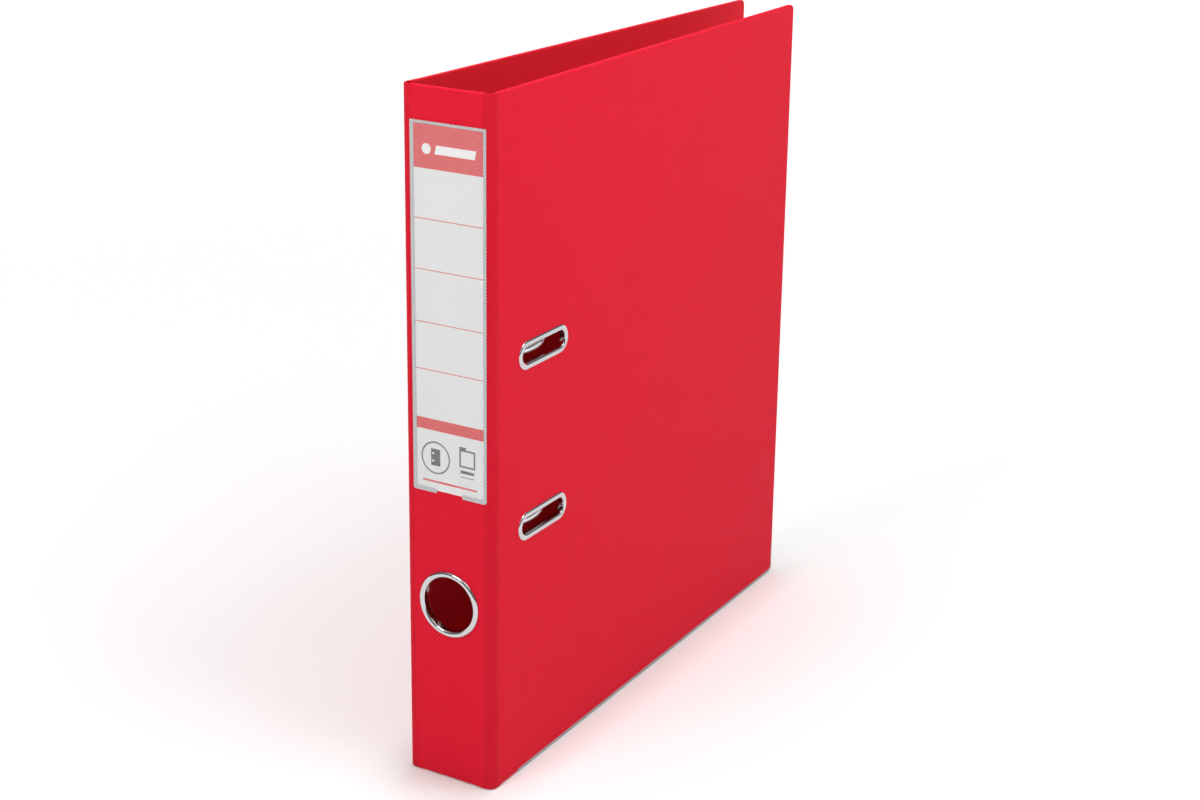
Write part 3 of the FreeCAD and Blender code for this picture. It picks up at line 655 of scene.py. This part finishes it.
def weld_edges():
    """Outer and inner edge of the welded border at matching stations, and the depth
    of its under side, which is clear of the spine along the two hems."""
    notch_back = (POCKET_BACK_X + POCKET_FRONT_X) / 2 - NOTCH_HALF
    notch_front = notch_back + 2 * NOTCH_HALF
    turn = np.radians(np.linspace(0, 90, CORNER_STEPS))[:, None]
    inner_back, inner_front = POCKET_BACK_X + WELD_BACK, POCKET_FRONT_X - WELD_FRONT
    inner_low, inner_top = POCKET_LOW_Z + HEM, POCKET_TOP_Z - WELD_TOP
    r = POCKET_CORNER_R
    back_bend = np.hstack([POCKET_BACK_X + r * (1 - np.sin(turn)),
                           POCKET_LOW_Z + r * (1 - np.cos(turn))])
    front_bend = np.hstack([POCKET_FRONT_X - r * (1 - np.cos(turn)),
                            POCKET_LOW_Z + r * (1 - np.sin(turn))])
    outer = [run((notch_back, POCKET_LOW_Z), back_bend[0], HEM_STEPS), back_bend,
             run(back_bend[-1], (POCKET_BACK_X, POCKET_TOP_Z), SIDE_STEPS),
             run((POCKET_BACK_X, POCKET_TOP_Z), (POCKET_FRONT_X, POCKET_TOP_Z), TOP_STEPS),
             run((POCKET_FRONT_X, POCKET_TOP_Z), front_bend[0], SIDE_STEPS), front_bend,
             run(front_bend[-1], (notch_front, POCKET_LOW_Z), HEM_STEPS)]
    back_low, front_low = (inner_back, inner_low), (inner_front, inner_low)
    inner = [run((notch_back, inner_low), back_low, HEM_STEPS),
             run(back_low, back_low, CORNER_STEPS),
             run(back_low, (inner_back, inner_top), SIDE_STEPS),
             run((inner_back, inner_top), (inner_front, inner_top), TOP_STEPS),
             run((inner_front, inner_top), front_low, SIDE_STEPS),
             run(front_low, front_low, CORNER_STEPS),
             run(front_low, (notch_front, inner_low), HEM_STEPS)]
    hem = np.full(HEM_STEPS, SHEET_IN)
    rising = run(SHEET_IN, 0, CORNER_STEPS)
    under = np.concatenate([hem, rising, np.zeros(2 * SIDE_STEPS + TOP_STEPS), rising[::-1], hem])
    return np.concatenate(outer), np.concatenate(inner), under


def hatched(x, z):
    """Outward face of the weld: slanting ridges with rounded tops."""
    wave = np.abs(np.sin(math.pi * (x + z) / HATCH_PITCH))
    return SHEET_OUT + HATCH_DEPTH * wave


outer_edge, inner_edge, under_depth = weld_edges()
share = np.linspace(0, 1, 9)[:, None]
border = outer_edge[:, None] + (inner_edge - outer_edge)[:, None] * share
lip = np.array([0.5, 1, 1, 1, 1, 1, 1, 1, 0.7])
face = np.minimum(hatched(border[..., 0], border[..., 1]) * lip,
                  under_depth[:, None] - WELD_LEAST_T)
weld_face = in_frame(drawn(border[..., 0], face, border[..., 1]))
weld_back = in_frame(drawn(border[..., 0], np.minimum(under_depth[:, None], 0.0), border[..., 1]))

weld_film, tree, shader = new_finish("weld_film", srgb(206, 206, 207), 0.28)
shader.inputs["Specular IOR Level"].default_value = 0.6
parts = tree.nodes.new("ShaderNodeSeparateXYZ")
tree.links.new(object_place(tree), parts.inputs[0])
slant = calc(tree, "ADD", calc(tree, "SUBTRACT", parts.outputs["X"], corner_x), parts.outputs["Z"])
hatch_valley_shade = calc(tree, "ABSOLUTE", calc(tree, "SINE", calc(tree, "MULTIPLY", slant,
                                                       math.pi / (HATCH_PITCH * MM))))
# Painted shade: the hatch turns dark grey in its valleys and stays pale on its ridge tops.
shade(tree, hatch_valley_shade, srgb(232, 232, 233), srgb(158, 159, 162), shader.inputs["Base Color"])
uneven(tree, speckle(tree, 0.001), 0.2, 0.36, shader.inputs["Roughness"])
weld = make_piece("pocket_weld", folded_sheet(weld_face, weld_back), weld_film,
                  crease=70)
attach(weld, "spine")

clear_film, tree, shader = new_finish("clear_film", srgb(240, 240, 242), 0.16)
shader.inputs["Alpha"].default_value = 0.07
shader.inputs["Specular IOR Level"].default_value = 0.5
emboss(tree, shader, speckle(tree, 0.012, detail=1), 0.00003)
middle_x = (POCKET_BACK_X + POCKET_FRONT_X) / 2
window_back, window_front = POCKET_BACK_X + WELD_BACK, POCKET_FRONT_X - WELD_FRONT
turn = np.radians(np.linspace(0, 180, 33))
window_x = np.concatenate([run(window_back, middle_x - THUMB_R, 12)[:-1],
                           middle_x - THUMB_R * np.cos(turn),
                           run(middle_x + THUMB_R, window_front, 12)[1:]])
lower_z = POCKET_LOW_Z + HEM + np.sqrt(np.maximum(THUMB_R ** 2 - (window_x - middle_x) ** 2, 0))
rise = np.linspace(0, 1, 24)[:, None]
window_z = lower_z + (POCKET_TOP_Z - WELD_TOP - lower_z) * rise
sides = [in_frame(drawn(window_x, depth, window_z)) for depth in (SHEET_OUT + 0.02, SHEET_IN)]
window = make_piece("pocket_window", folded_sheet(*sides), clear_film)
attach(window, "spine")
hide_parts("label_pocket")

# Label card
# White card, printed with a red heading, writing lines and two plain signs, slid
# up into the pocket from below.
card_low, card_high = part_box("spine_label")
CARD_W = (card_high.x - card_low.x) / MM
CARD_H = (card_high.z - card_low.z) / MM
HEADING_H = 18.9
LINE_HEIGHTS = [122.1, 99.8, 76.4, 55.1]
LINE_W = 0.42
BAND_LOW, BAND_HIGH = 27.7, 32.9

label_card, tree, shader = new_finish("label_card", srgb(228, 228, 228), 0.55)
card_place = tree.nodes.new("ShaderNodeMapping")
card_place.inputs["Scale"].default_value = (1 / MM, 1 / MM, 1 / MM)
card_place.inputs["Location"].default_value = (-card_low.x / MM, 0, -card_low.z / MM)
tree.links.new(object_place(tree), card_place.inputs["Vector"])
parts = tree.nodes.new("ShaderNodeSeparateXYZ")
tree.links.new(card_place.outputs[0], parts.inputs[0])
across, up = parts.outputs["X"], parts.outputs["Z"]


def between(value, low, high):
    """1 where a value lies between two limits, else 0."""
    over = calc(tree, "GREATER_THAN", value, low)
    return calc(tree, "MULTIPLY", over, calc(tree, "LESS_THAN", value, high))


def rectangle(low_x, low_z, high_x, high_z, slant=0.0):
    """Mask of an upright rectangle on the card, leaning by slant per unit of height."""
    x = calc(tree, "MULTIPLY_ADD", calc(tree, "SUBTRACT", up, low_z), -slant, across)
    return calc(tree, "MULTIPLY", between(x, low_x, high_x), between(up, low_z, high_z))


def disc(centre_x, centre_z, radius):
    """Mask of a full circle on the card."""
    dx = calc(tree, "SUBTRACT", across, centre_x)
    dz = calc(tree, "SUBTRACT", up, centre_z)
    square = calc(tree, "MULTIPLY_ADD", dx, dx, calc(tree, "MULTIPLY", dz, dz))
    return calc(tree, "LESS_THAN", square, radius ** 2)


def without(mask, cut):
    """The part of a mask that lies outside another."""
    return calc(tree, "MULTIPLY", mask, calc(tree, "SUBTRACT", 1.0, cut))


def either(*masks):
    """The union of masks."""
    joined = masks[0]
    for mask in masks[1:]:
        joined = calc(tree, "MAXIMUM", joined, mask)
    return joined


def printed(base, mask, colour):
    """Ink of one colour over what is printed so far."""
    mix = tree.nodes.new("ShaderNodeMix")
    mix.data_type = "RGBA"
    feed(tree, mask, mix.inputs["Factor"])
    feed(tree, base, mix.inputs["A"])
    feed(tree, colour, mix.inputs["B"])
    return mix.outputs["Result"]


paper = tree.nodes.new("ShaderNodeValToRGB")
paper.color_ramp.elements[0].color = srgb(222, 222, 222)
paper.color_ramp.elements[1].color = srgb(233, 233, 233)
tree.links.new(speckle(tree, 0.0015, detail=5), paper.inputs["Fac"])
heading = between(up, CARD_H - HEADING_H, CARD_H + 1)
ink = printed(paper.outputs["Color"], heading, srgb(218, 60, 62))
lines = either(*[between(up, height - LINE_W / 2, height + LINE_W / 2) for height in LINE_HEIGHTS])
ink = printed(ink, lines, srgb(216, 92, 94))
ink = printed(ink, between(up, BAND_LOW, BAND_HIGH), srgb(216, 46, 48))
heading_z = CARD_H - 10.4
ball = disc(6.4, heading_z, 2.3)
title = rectangle(10.6, heading_z - 1.9, 30.6, heading_z + 1.9, slant=0.22)
ink = printed(ink, either(ball, title), srgb(240, 238, 238))
sign_z = 15.2
hoop = without(disc(9.8, sign_z, 7.5), disc(9.8, sign_z, 6.8))
sheet = rectangle(7.4, sign_z - 3.7, 12.2, sign_z + 4.1)
punched = either(disc(8.5, sign_z + 1.9, 0.55), disc(8.5, sign_z - 1.5, 0.55))
folder = without(rectangle(22.2, sign_z - 1.6, 30.4, sign_z + 6.6),
                 rectangle(23.0, sign_z - 0.8, 29.6, sign_z + 5.8))
tab = rectangle(22.2, sign_z + 6.6, 25.6, sign_z + 7.8)
caption = either(rectangle(22.8, sign_z - 4.4, 29.8, sign_z - 3.0),
                 rectangle(22.8, sign_z - 6.3, 29.8, sign_z - 5.9))
ink = printed(ink, either(hoop, without(sheet, punched), folder, tab, caption), srgb(78, 78, 80))
ink = printed(ink, rectangle(3.0, 3.6, CARD_W - 3.4, 4.5), srgb(212, 72, 66))
tree.links.new(ink, shader.inputs["Base Color"])
emboss(tree, shader, speckle(tree, 0.0004, detail=4), 0.000006)
finish_nodes(label_card, "spine_label")

# Base plate and rivets
# Pressed, nickel-plated steel plate with two bridges over the wire's axle and two
# ears for the lever, held to the back cover by four tubular rivets.
RIVET_R = 2.0
RIVET_HEAD_R = 4.3
RIVET_HEAD_H = 0.7
PLATE_TOP = 3.5
PLATE_LOW_Y, PLATE_HIGH_Y = 13.0, 70.0
RIVET_INSET_Y = 5.5
RIVET_REACH_Z = 50.5


def eased(name, node, body, finish, edge):
    """Copy of a pressed or moulded part, its sharp edges eased by a small bevel."""
    shape = bmesh.new()
    shape.from_mesh(frame["nodes"][node].data)
    bmesh.ops.remove_doubles(shape, verts=shape.verts, dist=0.000002)
    bmesh.ops.dissolve_limit(shape, angle_limit=math.radians(0.5), verts=shape.verts,
                             edges=shape.edges)
    mesh = bpy.data.meshes.new(name)
    shape.to_mesh(mesh)
    shape.free()
    for layer in ("custom_normal", "sharp_face", "sharp_edge"):
        if layer in mesh.attributes:
            mesh.attributes.remove(mesh.attributes[layer])
    mesh.polygons.foreach_set("use_smooth", np.ones(len(mesh.polygons), bool))
    mesh.set_sharp_from_angle(angle=math.radians(30))
    mesh.materials.clear()
    mesh.materials.append(finish)
    piece = bpy.data.objects.new(name, mesh)
    bpy.context.scene.collection.objects.link(piece)
    bevel = piece.modifiers.new("eased_edges", "BEVEL")
    bevel.width = edge
    bevel.segments = 2
    bevel.limit_method = "ANGLE"
    bevel.angle_limit = math.radians(35)
    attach(piece, body)
    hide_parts(node)
    return piece


def turned_x(profile, y, z, steps=48):
    """Round piece on an axis along x: radius and x along the profile."""
    radius, x = np.array(profile, float).T
    angle = np.linspace(0, 2 * math.pi, steps, endpoint=False)
    grid = drawn(x[:, None], y + radius[:, None] * np.cos(angle),
                 z + radius[:, None] * np.sin(angle))
    return leaned(grid), quads(len(radius), steps, close_columns=True)


nickel_plate, tree, shader = new_finish("nickel_plate", srgb(205, 206, 208), 0.24, metallic=1.0)
plated = speckle(tree, 0.003, detail=6)
shade(tree, plated, srgb(186, 188, 190), srgb(216, 217, 219), shader.inputs["Base Color"])
uneven(tree, plated, 0.16, 0.32, shader.inputs["Roughness"])
emboss(tree, shader, speckle(tree, 0.0009, detail=3), 0.000012)
eased("mechanism_plate", "base_plate", "back_cover", nickel_plate, 0.00018)

turn = np.radians(np.linspace(0, 90, 9))
head = [(RIVET_HEAD_R * math.sin(a), -RIVET_HEAD_H * math.cos(a) ** 1.3) for a in turn[:-1]]
head += [(RIVET_HEAD_R, 0.0), (RIVET_R, 0.0), (RIVET_R, PLATE_TOP - 0.01)]
curl = np.radians(np.linspace(0, 180, 13))
curl_r = RIVET_HEAD_H
head += [(RIVET_R + curl_r * math.cos(a), PLATE_TOP + curl_r * math.sin(a)) for a in curl]
head += [(RIVET_R - curl_r, PLATE_TOP - 0.6), (0.0, PLATE_TOP - 0.6)]
surfaces = []
for rivet_y in (PLATE_LOW_Y + RIVET_INSET_Y, PLATE_HIGH_Y - RIVET_INSET_Y):
    for rivet_z in (HEIGHT / 2 - RIVET_REACH_Z, HEIGHT / 2 + RIVET_REACH_Z):
        surfaces.append(turned_x(head, rivet_y, rivet_z))
rivets = make_piece("tubular_rivets", surfaces, nickel_plate)
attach(rivets, "back_cover")
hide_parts("plate_rivets")

# Filing posts
# Two turned steel posts, riveted upright into the plate.  The arch's coned tips
# close into their countersunk tops.
POST_R = 2.5
POST_Y = 62.05
POST_COLLAR_R = 4.2
POST_COLLAR_H = 1.0
POST_TOP = 21.3
pin_steel, tree, shader = new_finish("pin_steel", srgb(186, 187, 189), 0.26, metallic=1.0)
turning_marks = speckle(tree, 0.0005, detail=3, stretch=(1, 0.15, 0.15))
shade(tree, turning_marks, srgb(170, 172, 174), srgb(202, 203, 205), shader.inputs["Base Color"])
uneven(tree, turning_marks, 0.2, 0.34, shader.inputs["Roughness"])
emboss(tree, shader, turning_marks, 0.000006)
post = [(0, PLATE_TOP), (POST_COLLAR_R, PLATE_TOP), (POST_COLLAR_R, PLATE_TOP + 0.7),
        (POST_COLLAR_R - 0.1, PLATE_TOP + 0.91), (POST_COLLAR_R - 0.3, PLATE_TOP + POST_COLLAR_H),
        (POST_R + 0.35, PLATE_TOP + POST_COLLAR_H), (POST_R + 0.1, PLATE_TOP + POST_COLLAR_H + 0.1),
        (POST_R, PLATE_TOP + POST_COLLAR_H + 0.35), (POST_R, POST_TOP - 0.3),
        (POST_R - 0.08, POST_TOP - 0.08), (POST_R - 0.25, POST_TOP),
        (POST_R - 0.35, POST_TOP - 0.05),
        (0.9, POST_TOP - 1.35), (0, POST_TOP - 1.35)]
posts = make_piece("turned_filing_posts", [turned_x(post, POST_Y, z) for z in SLOT_ZS],
                   pin_steel, crease=50)
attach(posts, "back_cover")
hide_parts("filing_posts")

# Arch wire
# One length of bright-plated spring wire is bent into both arches, the axle under
# the bridges and the crank in the middle that the lever's roller presses.
WIRE_R = 2.0
AXLE_X, AXLE_Y = 5.7, 20.0
CRANK_Y = 38.0
CRANK_HALF_WIDTH = 12.0
ARCH_CORNERS = [(20.5, 62.05), (27.6, 62.05), (39.8, 48.9), (39.0, 33.9), (AXLE_X, AXLE_Y)]
ARCH_BENDS = [13.0, 26.5, 4.5, 5.0]
CRANK_BEND = 3.5
TIP_CONE = 1.0


def bent_line(corners, bends, spacing=0.6):
    """Even points along straight runs joined by arcs: each arc starts and ends its
    radius times the tangent of half its turn away from the corner."""
    pieces = [corners[:1]]
    for before, corner, after, bend in zip(corners, corners[1:], corners[2:], bends):
        arriving = (corner - before) / np.linalg.norm(corner - before)
        leaving = (after - corner) / np.linalg.norm(after - corner)
        turn = math.acos(np.clip(arriving @ leaving, -1, 1))
        start = corner - arriving * bend * math.tan(turn / 2)
        side = leaving - arriving * (arriving @ leaving)
        side /= np.linalg.norm(side)
        angle = np.linspace(0, turn, max(4, int(bend * turn / spacing)))[:, None]
        arc = start + arriving * bend * np.sin(angle) + side * bend * (1 - np.cos(angle))
        pieces.append(arc)
    pieces.append(corners[-1:])
    return np.concatenate(pieces)


def round_wire(path, radius, steps=24):
    """Circle carried along a line.  The circle's first direction is square to the
    line and to a guide, which is z for runs across z and x for runs along it."""
    tangent = np.gradient(path, axis=0)
    tangent /= np.linalg.norm(tangent, axis=1)[:, None]
    along_z = np.abs(tangent[:, 2:])
    guide = along_z * [1.0, 0, 0] + (1 - along_z) * [0, 0, 1.0]
    first = np.cross(tangent, guide)
    first /= np.linalg.norm(first, axis=1)[:, None]
    second = np.cross(tangent, first)
    angle = np.linspace(0, 2 * math.pi, steps, endpoint=False)[:, None]
    ring = np.cos(angle) * first[:, None] + np.sin(angle) * second[:, None]
    return path[:, None] + ring * radius[:, None, None]


wire_plating, tree, shader = new_finish("wire_plating", srgb(222, 222, 223), 0.22, metallic=1.0)
uneven(tree, speckle(tree, 0.004), 0.16, 0.28, shader.inputs["Roughness"])
emboss(tree, shader, speckle(tree, 0.0008, detail=4), 0.000005)

arch = np.array(ARCH_CORNERS)
low_arch = np.column_stack([arch, np.full(len(arch), SLOT_ZS[0])])
high_arch = np.column_stack([arch, np.full(len(arch), SLOT_ZS[1])])
mid = HEIGHT / 2
crank_low, crank_high = mid - CRANK_HALF_WIDTH, mid + CRANK_HALF_WIDTH
crank = np.array([(AXLE_X, AXLE_Y, crank_low), (AXLE_X, CRANK_Y, crank_low),
                  (AXLE_X, CRANK_Y, crank_high), (AXLE_X, AXLE_Y, crank_high)])
corners = np.concatenate([low_arch, crank, high_arch[::-1]])
line = bent_line(corners, ARCH_BENDS + [CRANK_BEND] * 4 + ARCH_BENDS[::-1])
gaps = np.concatenate([[0], np.cumsum(np.linalg.norm(np.diff(line, axis=0), axis=1))])
cone = np.array([0.0, 0.15, 0.4, 0.8, TIP_CONE, TIP_CONE + 0.3])
stations = np.unique(np.round(np.concatenate([cone, np.linspace(1.8, gaps[-1] - 1.8, 700),
                                              gaps[-1] - cone]), 4))
path = np.stack([np.interp(stations, gaps, line[:, axis]) for axis in range(3)], axis=1)
from_tip = np.minimum(stations, gaps[-1] - stations)
radius = np.interp(from_tip, [0, 0.15, TIP_CONE, TIP_CONE + 0.3], [0.85, 1.1, 1.93, WIRE_R])
tube = round_wire(path, radius)
tips = np.repeat(path[[0, -1], None], tube.shape[1], axis=1)
grid = leaned(np.concatenate([tips[:1], tube, tips[1:]]))
wire = make_piece("bent_arch_wire", [(grid, quads(*grid.shape[:2], close_columns=True))],
                  wire_plating, crease=50)
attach(wire, "arch")
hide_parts("arch_wire")

# Lever, its pins and its roller
# Pressed channel lever on a headed pin.  The roller turns on a small pin through
# the lever's heel and pushes the crank down as the lever comes up.
eased("pressed_lever", "lever", "lever", nickel_plate, 0.00022)
eased("headed_lever_pin", "lever_pin", "back_cover", pin_steel, 0.0002)
eased("heel_roller", "roller", "roller", pin_steel, 0.00025)
eased("heel_roller_pin", "roller_pin", "lever", pin_steel, 0.0002)

# Opening spring
# Blued leaf spring under the crank, riveted to the plate by its tail.
spring_steel, tree, shader = new_finish("spring_steel", srgb(112, 114, 120), 0.34, metallic=1.0)
temper = speckle(tree, 0.005, detail=4)
shade(tree, temper, srgb(84, 88, 100), srgb(136, 134, 132), shader.inputs["Base Color"])
uneven(tree, temper, 0.26, 0.42, shader.inputs["Roughness"])
eased("blued_leaf_spring", "opening_spring", "back_cover", spring_steel, 0.00008)

# Compressor bar and clips
# Flat plated bar that slides on the posts and holds the sheets down, with a
# moulded black clip over each post.
black_plastic, tree, shader = new_finish("black_plastic", srgb(30, 30, 32), 0.45)
grain = speckle(tree, 0.0006, detail=6)
shade(tree, grain, srgb(22, 22, 24), srgb(40, 40, 42), shader.inputs["Base Color"])
uneven(tree, grain, 0.38, 0.55, shader.inputs["Roughness"])
emboss(tree, shader, grain, 0.00002)
eased("flat_compressor_bar", "compressor_bar", "compressor", nickel_plate, 0.0002)
eased("moulded_post_clips", "compressor_clips", "compressor", black_plastic,
      0.0004)

# Studio
# Pale floor with a painted glow, faint near the file and stronger further out, a soft
# light for the cover and one for the spine, a narrow light from straight above, a wide
# one over the floor and a pale room.
floor_mesh = bpy.data.meshes.new("floor")
SPAN = 30.0
GLOW_REACH = 3.0
floor_mesh.from_pydata([(-SPAN, -SPAN, 0), (SPAN, -SPAN, 0), (SPAN, SPAN, 0), (-SPAN, SPAN, 0)],
                       [], [(0, 1, 2, 3)])
floor = bpy.data.objects.new("floor", floor_mesh)
bpy.context.scene.collection.objects.link(floor)
floor.location.z = -0.0005
floor_glow_finish, tree, shader = new_finish("floor_painted_glow", (0.86, 0.86, 0.86, 1), 0.9)
shader.inputs["Emission Color"].default_value = (1, 1, 1, 1)
reach = tree.nodes.new("ShaderNodeVectorMath")
reach.operation = "LENGTH"
tree.links.new(object_place(tree), reach.inputs[0])
away = calc(tree, "DIVIDE", reach.outputs["Value"], GLOW_REACH)
# Painted glow: the floor emits faintly near the file and more strongly further out, so the far
# floor reads white.
uneven(tree, away, 0.04, 0.85, shader.inputs["Emission Strength"])
floor_mesh.materials.append(floor_glow_finish)


def soft_light(name, place, aim, size, power):
    """Square area light at a place, turned to shine at an aim."""
    lamp = bpy.data.lights.new(name, "AREA")
    lamp.size = size
    lamp.energy = power
    holder = bpy.data.objects.new(name, lamp)
    holder.location = place
    toward = Vector(aim) - Vector(place)
    holder.rotation_euler = toward.to_track_quat("-Z", "Y").to_euler()
    bpy.context.scene.collection.objects.link(holder)
    return holder


soft_light("cover_light", (0.52, -0.04, 0.92), (0.0, 0.0, 0.28), 0.45, 2.95)
soft_light("spine_light", (-0.12, -0.85, 0.95), (0.0, -0.1, 0.28), 0.45, 3.8)
soft_light("top_light", (0.0, 0.02, 2.6), (0.0, 0.02, 0.0), 0.25, 20)
soft_light("overhead", (0.0, 0.8, 3.6), (0.0, 0.5, 0.0), 5.0, 46)

world = bpy.data.worlds.new("pale_room")
bpy.context.scene.world = world
world.use_nodes = True
room = world.node_tree
backdrop = room.nodes["Background"]
direction = room.nodes.new("ShaderNodeSeparateXYZ")
room.links.new(room.nodes.new("ShaderNodeTexCoord").outputs["Generated"], direction.inputs[0])
sky = room.nodes.new("ShaderNodeValToRGB")
for place, level in ((0.1, 0.8), (0.16, 0.06)):
    sky.color_ramp.elements.new(place).color = (level, level, level, 1)
sky.color_ramp.elements[0].color = (0.9, 0.9, 0.9, 1)
sky.color_ramp.elements[-1].color = (0.4, 0.4, 0.4, 1)
room.links.new(direction.outputs["Z"], sky.inputs["Fac"])
room.links.new(sky.outputs["Color"], backdrop.inputs["Color"])
bpy.context.scene.view_settings.view_transform = "Standard"

CAMERA_PLACE = (0.48443, -0.84746, 0.48878)
azimuth, elevation, roll = (math.radians(angle) for angle in (30.15, 16.98, 0.85))
back = Vector((math.sin(azimuth) * math.cos(elevation),
               -math.cos(azimuth) * math.cos(elevation), math.sin(elevation)))
level_right = (-back).cross(Vector((0, 0, 1))).normalized()
level_up = level_right.cross(-back)
right = math.cos(roll) * level_right + math.sin(roll) * level_up
upward = -math.sin(roll) * level_right + math.cos(roll) * level_up
camera = bpy.data.cameras.new("camera")
camera.lens = 63.25
camera.sensor_width = 36
camera.shift_y = -0.0833
camera.clip_start = 0.01
holder = bpy.data.objects.new("camera", camera)
turned = Matrix(np.column_stack([right, upward, back]).tolist()).to_quaternion()
holder.matrix_world = Matrix.LocRotScale(Vector(CAMERA_PLACE), turned, None)
bpy.context.scene.collection.objects.link(holder)
bpy.context.scene.camera = holder
